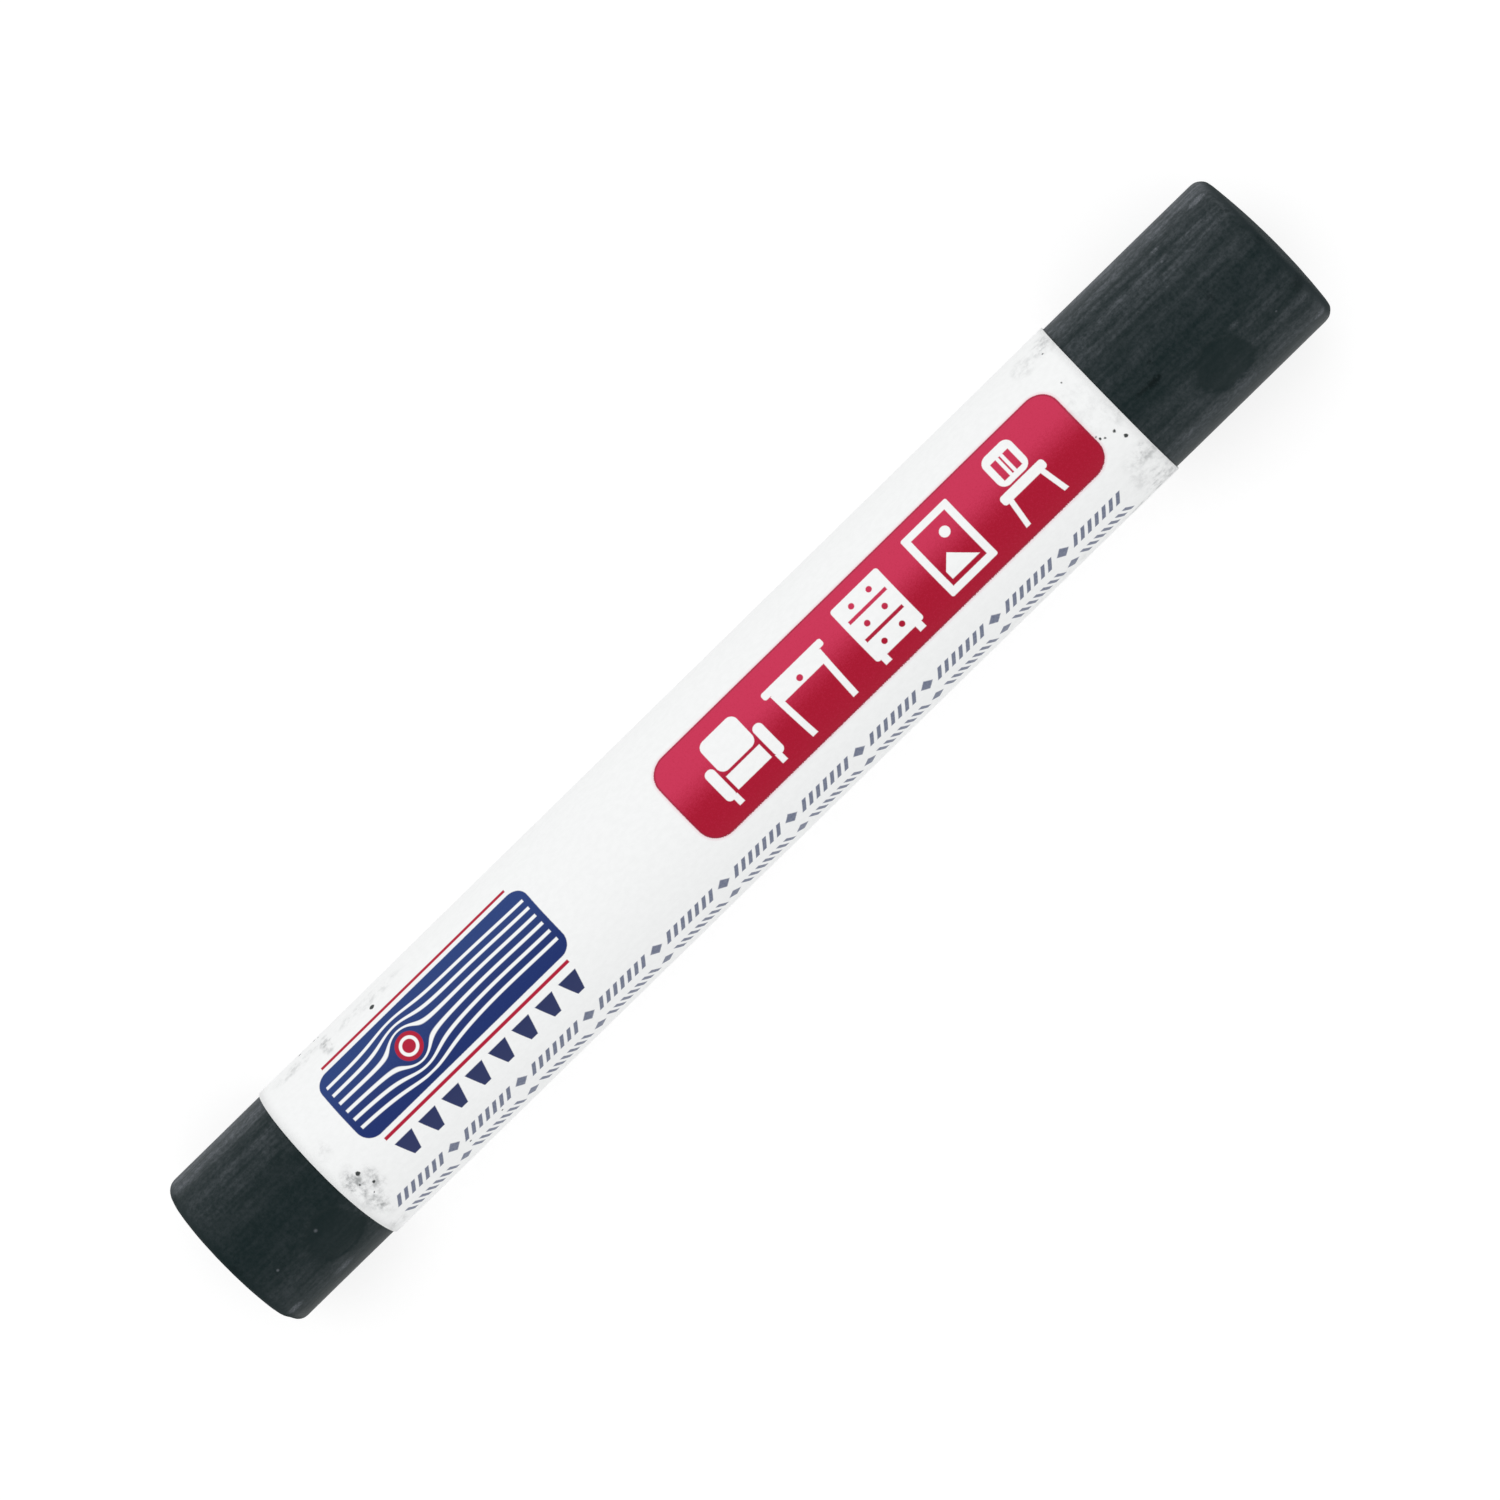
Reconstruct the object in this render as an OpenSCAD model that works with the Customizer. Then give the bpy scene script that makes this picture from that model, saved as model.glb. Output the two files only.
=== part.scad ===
// Furniture repair wax stick: a moulded rod of filler wax in a paper label that is
// wrapped once round it, glued on, and lapped on itself. The stick lies on its side
// along X. The origin is on the surface it lies on, under the middle of its length.
// Millimetres, +Z up.

/* [Wax stick] */
// Diameter of the wax rod
wax_d = 11.2; // [8:0.1:16]
// Bare wax at the short end, from the tip to the label
short_end_len = 8.1; // [5:0.1:20]
// Bare wax at the long end, from the label to the tip
long_end_len = 13.2; // [6:0.1:30]
// Rounding of the rim at the short end
short_rim_r = 0.8; // [0.3:0.1:1.2]
// Rounding of the rim at the long end
long_rim_r = 0.7; // [0.3:0.1:1.2]
// How far the short end face crowns above its rim
short_crown_h = 0.2; // [0.05:0.05:0.6]
// How far the long end face crowns above its rim
long_crown_h = 0.3; // [0.05:0.05:0.6]

/* [Ejector marks] */
// Diameter of the round marks that the mould's ejector pins leave
mark_d = 3.6; // [1.5:0.1:3.8]
// Depth of the marks in the wax
mark_depth = 0.06; // [0.03:0.01:0.2]
// Turn of the marks round the rod, from the top towards the front
mark_turn = 36; // [0:1:90]
// Place of the short end's mark, as a share of the room between label and rim
short_mark_share = 0.06; // [0:0.01:1]
// Place of the long end's mark, as a share of the room between label and rim
long_mark_share = 0.51; // [0:0.01:1]

/* [Label] */
// Length of the label along the rod
label_len = 64; // [20:0.5:120]
// Thickness of the paper
paper_t = 0.1; // [0.05:0.01:0.3]
// Thickness of the adhesive under the paper
glue_t = 0.03; // [0.01:0.01:0.1]
// Width of paper that laps over the label's first edge
lap_w = 3.5; // [1:0.1:6]
// Width over which the paper climbs onto the first edge
climb_w = 1.4; // [0.6:0.1:3]
// Turn of the label's first edge, from the underside towards the back
seam_turn = 25; // [20:1:60]

/* [Hidden] */
$fn = 128;

// One overrun serves every cut.
overrun = 0.5;
// Flat steps that the climb of the label is drawn in
climb_steps = 10;
// Width by which the climb reaches into the rest of its layer at both ends
climb_grip = 0.1;
// Share of its layer's thickness by which the climb is thinner on each face
climb_inset_share = 0.1;
full_turn = 360;

wax_r = wax_d / 2;
stick_len = short_end_len + label_len + long_end_len;
laminate_t = paper_t + glue_t;
// Height of the rod's axis above the surface that the label rests on
axis_h = wax_r + laminate_t;
// Positions along the rod, from the tip of the short end
label_start = short_end_len;
label_end = short_end_len + label_len;
short_rim_at = short_rim_r + short_crown_h;
long_rim_at = stick_len - long_rim_r - long_crown_h;
mark_places = [
    label_start - mark_gap(label_start - short_rim_at, short_mark_share),
    label_end + mark_gap(long_rim_at - label_end, long_mark_share)
];

// Distance from the label to a mark's centre on a bare stretch that starts there
function mark_gap(bare_len, share) = mark_d / 2 + share * (bare_len - mark_d);
// Angle of an arc of the given width on the rod's surface
function turn_of(width) = width / wax_r * 180 / PI;
// Share of the climb that is done at share s of its width, level at both ends
function climb_share(s) = s * s * (3 - 2 * s);

// Puts a solid that is drawn along +Z, tip of the short end first, in its place:
// +X of the drawing turns to the underside and +Y to the back.
module lay_down() {
    translate([-stick_len / 2, 0, axis_h])
        rotate([0, 90, 0])
            children();
}

// Half section of one crowned end, from the plane of the rim's centre upwards. The
// crown is an arc that runs into the arc of the rim with no corner between them.
module end_section(rim_r, crown_h) {
    rim_at = wax_r - rim_r;
    crown_r = rim_r + (rim_at * rim_at + crown_h * crown_h) / (2 * crown_h);
    crown_at = rim_r + crown_h - crown_r;
    // Direction in which the two arcs meet, seen from the rim's centre
    meet = [rim_at, -crown_at] / (crown_r - rim_r);
    reach = 2 * (rim_r + crown_h);
    meet_far = [rim_at, 0] + meet * reach;

    intersection() {
        translate([0, crown_at])
            circle(r = crown_r);
        polygon([[0, 0], [rim_at, 0], meet_far, [0, meet_far[1]]]);
    }
    intersection() {
        translate([rim_at, 0])
            circle(r = rim_r);
        polygon([[rim_at, 0], [wax_r + reach, 0], [wax_r + reach, meet_far[1]], meet_far]);
    }
}

// The whole rod, drawn along +Z from the tip of the short end
module rod() {
    rotate_extrude() {
        translate([0, short_rim_at])
            square([wax_r, long_rim_at - short_rim_at]);
        translate([0, short_rim_at])
            mirror([0, 1])
                end_section(short_rim_r, short_crown_h);
        translate([0, long_rim_at])
            end_section(long_rim_r, long_crown_h);
    }
}

// Round sinking whose floor follows the rod, as a contoured ejector pin leaves it
module ejector_mark(along) {
    intersection() {
        translate([0, 0, along])
            rotate([0, 90, 180 + mark_turn])
                cylinder(d = mark_d, h = wax_r + overrun);
        translate([0, 0, along - mark_d])
            difference() {
                cylinder(r = wax_r + overrun, h = 2 * mark_d);
                translate([0, 0, -overrun])
                    cylinder(r = wax_r - mark_depth, h = 2 * (mark_d + overrun));
            }
    }
}

// One layer of the wrapped label. It goes round from the first edge, climbs by the
// thickness of the label onto that edge, and laps over it. The climb is a strip of flat
// steps, which reaches into the rest of the layer at both ends and is level in its last
// step, before the edge.
module wrapped_layer(inner_r, thickness) {
    climb_turn = turn_of(climb_w);
    climb_start = seam_turn - climb_turn;
    grip_turn = turn_of(climb_grip);
    inset = thickness * climb_inset_share;
    last = climb_steps - 1;
    // Turn and rise of the corners along the climb
    corners = concat(
        [[climb_start - grip_turn, 0]],
        [for (i = [1:last])
            [climb_start + i / climb_steps * climb_turn, climb_share(i / last) * laminate_t]],
        [[seam_turn + grip_turn, laminate_t]]
    );
    function at(corner, r) = (r + corner[1]) * [cos(corner[0]), sin(corner[0])];
    inner_face = [for (corner = corners) at(corner, inner_r + inset)];
    outer_face = [for (i = [len(corners) - 1:-1:0]) at(corners[i], inner_r + thickness - inset)];

    translate([0, 0, label_start]) {
        rotate_extrude(angle = full_turn - climb_turn, start = seam_turn)
            translate([inner_r, 0])
                square([thickness, label_len]);
        linear_extrude(height = label_len)
            polygon(concat(inner_face, outer_face));
        rotate_extrude(angle = turn_of(lap_w), start = seam_turn)
            translate([inner_r + laminate_t, 0])
                square([thickness, label_len]);
    }
}

module wax_stick() {
    color([0.17, 0.19, 0.2])
        lay_down()
            difference() {
                rod();
                for (along = mark_places)
                    ejector_mark(along);
            }
}

module label_adhesive() {
    color([0.93, 0.9, 0.78])
        lay_down()
            wrapped_layer(wax_r, glue_t);
}

module paper_label() {
    color([0.95, 0.95, 0.95])
        lay_down()
            wrapped_layer(wax_r + glue_t, paper_t);
}

wax_stick();
label_adhesive();
paper_label();
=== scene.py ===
# Looks of the furniture repair wax stick: a moulded rod of dark filler wax in a printed
# paper label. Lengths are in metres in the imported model's frame, and in millimetres where a
# name or a comment says so.
# A turn is an angle round the rod's axis, from the top towards the front (-Y).
import math
from collections import namedtuple
from functools import reduce

import bpy
import numpy as np
from mathutils import Matrix, Vector


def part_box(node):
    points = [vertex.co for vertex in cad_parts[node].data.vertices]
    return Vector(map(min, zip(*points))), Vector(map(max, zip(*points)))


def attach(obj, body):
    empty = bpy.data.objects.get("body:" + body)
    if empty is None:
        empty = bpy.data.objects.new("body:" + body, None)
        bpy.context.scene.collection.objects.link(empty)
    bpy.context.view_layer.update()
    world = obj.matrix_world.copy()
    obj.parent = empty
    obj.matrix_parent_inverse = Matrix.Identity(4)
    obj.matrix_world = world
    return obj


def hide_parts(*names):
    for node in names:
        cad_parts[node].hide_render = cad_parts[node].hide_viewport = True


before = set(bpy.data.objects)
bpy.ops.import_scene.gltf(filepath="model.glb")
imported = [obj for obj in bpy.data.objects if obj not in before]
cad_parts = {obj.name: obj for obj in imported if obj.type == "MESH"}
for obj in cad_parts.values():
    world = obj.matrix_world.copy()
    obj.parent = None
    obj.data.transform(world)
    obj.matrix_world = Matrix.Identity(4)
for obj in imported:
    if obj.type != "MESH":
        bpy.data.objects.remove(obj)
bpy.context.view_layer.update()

MM = 0.001
# Factors that turn a vector in metres into one in millimetres
TO_MM = (1 / MM,) * 3
FULL_TURN = 2 * math.pi

# Sizes that the frame gives
wax_low, wax_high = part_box("wax_stick")
glue_low, glue_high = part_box("label_adhesive")
paper_low, paper_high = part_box("paper_label")
AXIS_Z = (wax_low.z + wax_high.z) / 2
WAX_R = (wax_high.z - wax_low.z) / 2
GLUE_R = (glue_high.z - glue_low.z) / 2
PAPER_R = (paper_high.z - paper_low.z) / 2
SHORT_TIP, LONG_TIP = wax_low.x, wax_high.x
LABEL_START, LABEL_END = paper_low.x, paper_high.x
LABEL_LEN = LABEL_END - LABEL_START

# Ends of the wax rod and its ejector marks, as the construction has them. The marks' turn is
# in degrees.
SHORT_RIM_R, SHORT_CROWN_H = 0.8 * MM, 0.2 * MM
LONG_RIM_R, LONG_CROWN_H = 0.7 * MM, 0.3 * MM
MARK_D, MARK_DEPTH = 3.6 * MM, 0.06 * MM
MARK_TURN = 36
SHORT_MARK_X = LABEL_START - 2.01 * MM
LONG_MARK_X = LABEL_END + 6.18 * MM

# Wrap of the label, as the construction has it
FIRST_EDGE_TURN = math.radians(-155)
LAP_W, CLIMB_W = 3.5 * MM, 1.4 * MM


class Wire:
    """A socket of a node tree. Arithmetic on it adds Math nodes to the tree."""

    def __init__(self, tree, socket):
        self.tree = tree
        self.socket = socket

    def node(self, kind, inputs=None, settings=None, output=0):
        """Adds a node to the same tree, as add_node does."""
        return add_node(self.tree, kind, inputs, settings, output)

    def math(self, operation, *values):
        return self.node("ShaderNodeMath", dict(enumerate(values)), {"operation": operation})

    def __add__(self, other):
        return self.math("ADD", self, other)

    def __radd__(self, other):
        return self.math("ADD", other, self)

    def __sub__(self, other):
        return self.math("SUBTRACT", self, other)

    def __rsub__(self, other):
        return self.math("SUBTRACT", other, self)

    def __mul__(self, other):
        return self.math("MULTIPLY", self, other)

    def __rmul__(self, other):
        return self.math("MULTIPLY", other, self)

    def __truediv__(self, other):
        return self.math("DIVIDE", self, other)

    def __rtruediv__(self, other):
        return self.math("DIVIDE", other, self)

    def __neg__(self):
        return self.math("MULTIPLY", self, -1.0)

    def __abs__(self):
        return self.math("ABSOLUTE", self)

    def at_least(self, other):
        return self.math("MAXIMUM", self, other)

    def at_most(self, other):
        return self.math("MINIMUM", self, other)

    def over(self, other):
        """1 where this is more than the other, else 0."""
        return self.math("GREATER_THAN", self, other)

    def root(self):
        return self.math("SQRT", self)

    def sine(self):
        return self.math("SINE", self)

    def cosine(self):
        return self.math("COSINE", self)

    def fraction(self):
        return self.math("FRACT", self)

    def ramp(self, start, end, low=0.0, high=1.0):
        """Goes smoothly from low to high while this goes from start to end."""
        inputs = {"Value": self, "From Min": start, "From Max": end, "To Min": low, "To Max": high}
        return self.node("ShaderNodeMapRange", inputs, {"interpolation_type": "SMOOTHSTEP"})


def socket_named(sockets, key):
    """The socket with that index, identifier or name."""
    if isinstance(key, int):
        return sockets[key]
    found = [s for s in sockets if s.identifier == key] or [s for s in sockets if s.name == key]
    return found[0]


def add_node(tree, kind, inputs=None, settings=None, output=0):
    """Adds a node, sets its settings first, then gives each input its value or its link."""
    node = tree.nodes.new(kind)
    for name, value in (settings or {}).items():
        setattr(node, name, value)
    for key, value in (inputs or {}).items():
        target = socket_named(node.inputs, key)
        if isinstance(value, Wire):
            tree.links.new(value.socket, target)
        else:
            target.default_value = value
    return Wire(tree, socket_named(node.outputs, output)) if node.outputs else None


def mixed(factor, start, end):
    """The colour start where the factor is 0 and end where it is 1."""
    inputs = {"Factor_Float": factor, "A_Color": start, "B_Color": end}
    return factor.node("ShaderNodeMix", inputs, {"data_type": "RGBA"}, "Result_Color")


def noise(vector, scale, detail=2.0, roughness=0.5, seed=0.0):
    """Noise from about 0 to 1 over a vector that is in millimetres."""
    inputs = {"Vector": vector, "W": seed, "Scale": scale, "Detail": detail, "Roughness": roughness}
    return vector.node("ShaderNodeTexNoise", inputs, {"noise_dimensions": "4D"})


def vector_math(operation, first, second, output="Vector"):
    inputs = {0: first, 1: second}
    return first.node("ShaderNodeVectorMath", inputs, {"operation": operation}, output)


def length_of(vector):
    return vector.node("ShaderNodeVectorMath", {0: vector}, {"operation": "LENGTH"}, "Value")


def scaled(vector, factor):
    """The vector times one value."""
    inputs = {0: vector, "Scale": factor}
    return vector.node("ShaderNodeVectorMath", inputs, {"operation": "SCALE"})


def stretched(vector, factors):
    """The vector with each part multiplied by its factor."""
    return vector_math("MULTIPLY", vector, factors)


def distance_to(vector, point):
    return vector_math("DISTANCE", vector, point, "Value")


def combined(x, y, z):
    """A vector of three parts, of which the first is a wire."""
    return x.node("ShaderNodeCombineXYZ", {"X": x, "Y": y, "Z": z})


def parts_of(vector):
    """The three parts of a vector, as values."""
    separate = vector.node("ShaderNodeSeparateXYZ", {"Vector": vector})
    outputs = separate.socket.node.outputs
    return [Wire(vector.tree, outputs[i]) for i in range(3)]


def highest(values):
    """The highest of some values at each place."""
    return reduce(Wire.at_least, values)


def new_material(name):
    """A material with an empty node tree."""
    material = bpy.data.materials.new(name)
    material.use_nodes = True
    material.node_tree.nodes.clear()
    return material


def finish_material(tree, fixed, driven, relief, relief_depth):
    """Ends a tree in a Principled shader: fixed values, driven sockets and a bump in metres."""
    bump = {"Height": relief, "Distance": relief_depth, "Strength": 1.0}
    normal = add_node(tree, "ShaderNodeBump", bump)
    shader = add_node(tree, "ShaderNodeBsdfPrincipled", {**fixed, **driven, "Normal": normal})
    add_node(tree, "ShaderNodeOutputMaterial", {"Surface": shader})


def srgb(red, green, blue):
    """A colour given as 0 to 255 on a screen, as the linear colour that nodes take."""

    def linear(level):
        share = level / 255
        return share / 12.92 if share <= 0.04045 else ((share + 0.055) / 1.055) ** 2.4

    return (linear(red), linear(green), linear(blue), 1.0)


# Geometry trees

INPUT_KINDS = {
    "Geometry": "NodeSocketGeometry",
    "Material": "NodeSocketMaterial",
    "Rows": "NodeSocketInt",
    "Columns": "NodeSocketInt",
}


def shape_tree(name, input_names):
    """A geometry node tree with named inputs, and a wire from each. Those that have no kind
    of their own above are plain numbers."""
    tree = bpy.data.node_groups.new(name, "GeometryNodeTree")
    for input_name in ["Geometry", "Material", *input_names]:
        kind = INPUT_KINDS.get(input_name, "NodeSocketFloat")
        tree.interface.new_socket(input_name, in_out="INPUT", socket_type=kind)
    tree.interface.new_socket("Geometry", in_out="OUTPUT", socket_type="NodeSocketGeometry")
    entry = add_node(tree, "NodeGroupInput").socket.node
    return tree, {s.name: Wire(tree, s) for s in entry.outputs if s.name}


def finish_tree(tree, geometry, material):
    """Ends a geometry tree: nothing instanced, and the material on every face."""
    real = add_node(tree, "GeometryNodeRealizeInstances", {"Geometry": geometry})
    inputs = {"Geometry": real, "Material": material}
    dressed = add_node(tree, "GeometryNodeSetMaterial", inputs)
    add_node(tree, "NodeGroupOutput", {"Geometry": dressed})


def stored(geometry, name, data_type, domain, value):
    """The geometry with a named attribute stored on it."""
    inputs = {"Geometry": geometry, "Name": name, "Value": value}
    settings = {"data_type": data_type, "domain": domain}
    return geometry.node("GeometryNodeStoreNamedAttribute", inputs, settings)


def placed(geometry, position):
    """The geometry with each point moved to its position."""
    inputs = {"Geometry": geometry, "Position": position}
    return geometry.node("GeometryNodeSetPosition", inputs)


def settled(name, tree, values, start_mesh=None):
    """A piece with the plain mesh that the tree makes of its values, and nothing left live."""
    piece = bpy.data.objects.new(name, start_mesh or bpy.data.meshes.new(name + "_start"))
    bpy.context.scene.collection.objects.link(piece)
    modifier = piece.modifiers.new("shape", "NODES")
    modifier.node_group = tree
    for item in tree.interface.items_tree:
        if item.in_out == "INPUT" and item.name in values:
            modifier[item.identifier] = values[item.name]
    graph = bpy.context.evaluated_depsgraph_get()
    shaped = piece.evaluated_get(graph)
    keep = {"preserve_all_data_layers": True, "depsgraph": graph}
    mesh = bpy.data.meshes.new_from_object(shaped, **keep)
    piece.modifiers.clear()
    piece.data = mesh
    mesh.name = name
    return piece


# Wax rod

# Places on the wax that have something to them: along the rod, turn in degrees, width of the
# place, and how deep or how bright it is
Spot = namedtuple("Spot", "x turn size strength")
MARKS = [Spot(mark_x, MARK_TURN, MARK_D, MARK_DEPTH) for mark_x in (SHORT_MARK_X, LONG_MARK_X)]
PITS = [
    Spot(LABEL_END + 8.3 * MM, -1, 0.60 * MM, 0.05 * MM),
    Spot(LABEL_END + 3.2 * MM, 1, 0.30 * MM, 0.04 * MM),
    Spot(LONG_TIP - 0.5 * MM, -48, 0.70 * MM, 0.06 * MM),
    Spot(LONG_TIP - 0.7 * MM, -35, 0.55 * MM, 0.05 * MM),
    Spot(LONG_TIP - 0.4 * MM, -5, 0.80 * MM, 0.07 * MM),
    Spot(LONG_TIP - 0.6 * MM, 31, 1.10 * MM, 0.05 * MM),
    Spot(LONG_TIP - 0.5 * MM, 128, 0.90 * MM, 0.06 * MM),
    Spot(LONG_TIP - 4.1 * MM, 102, 0.35 * MM, 0.04 * MM),
    Spot(LONG_TIP - 6.9 * MM, -118, 0.40 * MM, 0.05 * MM),
    Spot(SHORT_TIP + 0.5 * MM, -60, 0.60 * MM, 0.05 * MM),
    Spot(SHORT_TIP + 0.3 * MM, 76, 3.20 * MM, 0.10 * MM),
    Spot(SHORT_TIP + 0.4 * MM, 8, 0.90 * MM, 0.04 * MM),
    Spot(SHORT_TIP + 0.6 * MM, 150, 0.80 * MM, 0.06 * MM),
    Spot(SHORT_TIP + 3.2 * MM, -95, 0.40 * MM, 0.04 * MM),
]
# A ragged slit in the wax, as two grooves that run into each other. Turns are in degrees.
Groove = namedtuple("Groove", "x turn length width depth")
GROOVES = [
    Groove(LABEL_END + 2.60 * MM, 11.4, 1.25 * MM, 0.42 * MM, 0.09 * MM),
    Groove(LABEL_END + 1.75 * MM, 10.8, 1.20 * MM, 0.26 * MM, 0.06 * MM),
]


def on_surface(spot):
    """Where a spot is on the rod's wall."""
    turn = math.radians(spot.turn)
    return (spot.x, -WAX_R * math.sin(turn), AXIS_Z + WAX_R * math.cos(turn))


def outward(spot):
    """The direction from the axis to a spot."""
    turn = math.radians(spot.turn)
    return (0.0, -math.sin(turn), math.cos(turn))


def end_profile(rim_r, crown_h, crown_steps, rim_steps):
    """Depth from the tip and radius of one end's rings, from the pole outwards."""
    rim_at = WAX_R - rim_r
    crown_r = rim_r + (rim_at ** 2 + crown_h ** 2) / (2 * crown_h)
    meet = math.asin(rim_at / (crown_r - rim_r))
    on_crown = np.linspace(0, meet, crown_steps, endpoint=False)
    on_rim = np.linspace(meet, math.pi / 2, rim_steps)
    crown_depth = crown_r * (1 - np.cos(on_crown))
    rim_depth = rim_r + crown_h - rim_r * np.cos(on_rim)
    depth = np.concatenate([crown_depth, rim_depth])
    radius = np.concatenate([crown_r * np.sin(on_crown), rim_at + rim_r * np.sin(on_rim)])
    return depth, radius


def rod_profile():
    """The rod's half section as a line of points, X along the rod and Z its radius. Rings are
    close together on the bare stretches. The attribute map_share is each ring's place up the
    map, where the stretch under the label gets little room."""
    ring_gap = 0.14 * MM
    hidden_rings = 8
    hidden_share = 0.03
    under = 0.6 * MM
    short_depth, short_r = end_profile(SHORT_RIM_R, SHORT_CROWN_H, crown_steps=16, rim_steps=9)
    long_depth, long_r = end_profile(LONG_RIM_R, LONG_CROWN_H, crown_steps=16, rim_steps=8)
    wall_x = np.concatenate([
        np.arange(SHORT_TIP + short_depth[-1] + ring_gap, LABEL_START + under, ring_gap),
        np.linspace(LABEL_START + under, LABEL_END - under, hidden_rings),
        np.arange(LABEL_END - under + ring_gap, LONG_TIP - long_depth[-1], ring_gap),
    ])
    x = np.concatenate([SHORT_TIP + short_depth, wall_x, (LONG_TIP - long_depth)[::-1]])
    radius = np.concatenate([short_r, np.full_like(wall_x, WAX_R), long_r[::-1]])
    step = np.hypot(np.diff(x), np.diff(radius))
    hidden = (x[1:] > LABEL_START + under) & (x[1:] <= LABEL_END - under)
    step = np.where(hidden, step * hidden_share, step)
    share = np.concatenate([[0], np.cumsum(step) / step.sum()])

    mesh = bpy.data.meshes.new("rod_profile")
    edges = [(i, i + 1) for i in range(len(x) - 1)]
    mesh.from_pydata(np.stack([x, x * 0, radius], axis=1).tolist(), edges, [])
    layer = mesh.attributes.new("map_share", "FLOAT", "POINT")
    layer.data.foreach_set("value", share.astype(np.float32))
    return mesh


def sinkings(place, mark_depth):
    """How deep the marks, pits and slit are at a place on the rod, in metres."""
    mark_edge_w = 0.12 * MM
    depths = []
    for mark in MARKS:
        offset = vector_math("SUBTRACT", place, on_surface(mark))
        away = length_of(vector_math("CROSS_PRODUCT", offset, outward(mark)))
        front = vector_math("DOT_PRODUCT", offset, outward(mark), "Value").over(-WAX_R / 2)
        inside = away.ramp(mark.size / 2, mark.size / 2 - mark_edge_w)
        depths.append(inside * front * mark_depth)
    for pit in PITS:
        depths.append(distance_to(place, on_surface(pit)).ramp(pit.size / 2, 0.0) * pit.strength)
    torn = (noise(stretched(place, TO_MM), scale=6.0, detail=2.0, roughness=0.6) - 0.5) * 0.8
    for groove in GROOVES:
        shape = (1 / groove.length, 1 / groove.width, 1 / groove.width)
        offset = vector_math("SUBTRACT", place, on_surface(groove))
        reach = length_of(stretched(offset, shape)) + torn
        depths.append(reach.ramp(0.5, 0.15) * groove.depth)
    return sum(depths[1:], depths[0])


def moulded_rod_tree():
    """Turns a half section into a rod, then sinks draw lines, marks and pits into it, wears
    down the long end's rim, and leans that end's face a little."""
    weld_gap = 0.001 * MM
    sizes = ["Columns", "Axis height", "Line depth", "Sag depth", "Grain depth", "Mark depth",
             "Wear depth", "Wear start", "Wear reach", "Wall radius", "Lean", "Lean start",
             "Lean end", "Drawn in", "Seed"]
    tree, size = shape_tree("moulded_rod", sizes)
    profile = size["Geometry"]
    section = {"Geometry": profile}
    rings = add_node(tree, "GeometryNodeAttributeDomainSize", section, output="Point Count")
    counts = {"Size X": 1.0, "Size Y": 1.0, "Vertices X": rings, "Vertices Y": size["Columns"]}
    sheet = add_node(tree, "GeometryNodeMeshGrid", counts, output="Mesh")

    flat_x, flat_y, _ = parts_of(add_node(tree, "GeometryNodeInputPosition"))
    along = (flat_x + 0.5) * (rings - 1)
    ring = along.math("ROUND", along)
    turn = (flat_y + 0.5) * FULL_TURN

    def at_ring(data_type, value):
        """A value of the half section at this point's ring."""
        inputs = {"Geometry": profile, "Value": value, "Index": ring}
        return add_node(tree, "GeometryNodeSampleIndex", inputs, {"data_type": data_type})

    ring_place = at_ring("FLOAT_VECTOR", add_node(tree, "GeometryNodeInputPosition"))
    ring_x, _, ring_r = parts_of(ring_place)
    own_share = add_node(tree, "GeometryNodeInputNamedAttribute", {"Name": "map_share"})
    map_share = at_ring("FLOAT", own_share)

    map_place = combined(flat_y + 0.5, map_share, 0.0)
    sheet = stored(sheet, "OFBake", "FLOAT2", "CORNER", map_place)
    ring_y, ring_z = -(turn.sine() * ring_r), turn.cosine() * ring_r + size["Axis height"]
    rod = placed(sheet, combined(ring_x, ring_y, ring_z))
    weld = {"Geometry": rod, "Distance": weld_gap}
    rod = rod.node("GeometryNodeMergeByDistance", weld)
    rod = rod.node("GeometryNodeFlipFaces", {"Mesh": rod})
    rod = rod.node("GeometryNodeSetShadeSmooth", {"Geometry": rod})

    place = add_node(tree, "GeometryNodeInputPosition")
    place_mm = stretched(place, TO_MM)
    seed = size["Seed"]
    drawn_out = stretched(place_mm, (0.03, 1, 1))
    lines = noise(drawn_out, scale=1.3, detail=3.0, roughness=0.6, seed=seed)
    sag = noise(place_mm, scale=0.12, detail=1.0, roughness=0.5, seed=seed)
    grain = noise(place_mm, scale=2.2, detail=2.0, roughness=0.5, seed=seed)
    depth = lines * size["Line depth"] + sag * size["Sag depth"] + grain * size["Grain depth"]
    depth = depth + sinkings(place, size["Mark depth"])
    x, y, z = parts_of(place)
    up = z - size["Axis height"]
    from_axis = (y * y + up * up).root()
    start, reach, wall = size["Wear start"], size["Wear reach"], size["Wall radius"]
    worn = x.ramp(start, start + reach) * from_axis.ramp(wall - reach, wall)
    depth = depth + worn * size["Wear depth"]
    normal = add_node(tree, "GeometryNodeInputNormal", output="Normal")
    rod = placed(rod, vector_math("ADD", place, scaled(normal, -depth)))

    share = x.ramp(size["Lean start"], size["Lean end"])
    x, y, z = parts_of(place)
    leaned = x - share * (size["Lean"] * y + size["Drawn in"])
    finish_tree(tree, placed(rod, combined(leaned, y, z)), size["Material"])
    return tree


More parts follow.
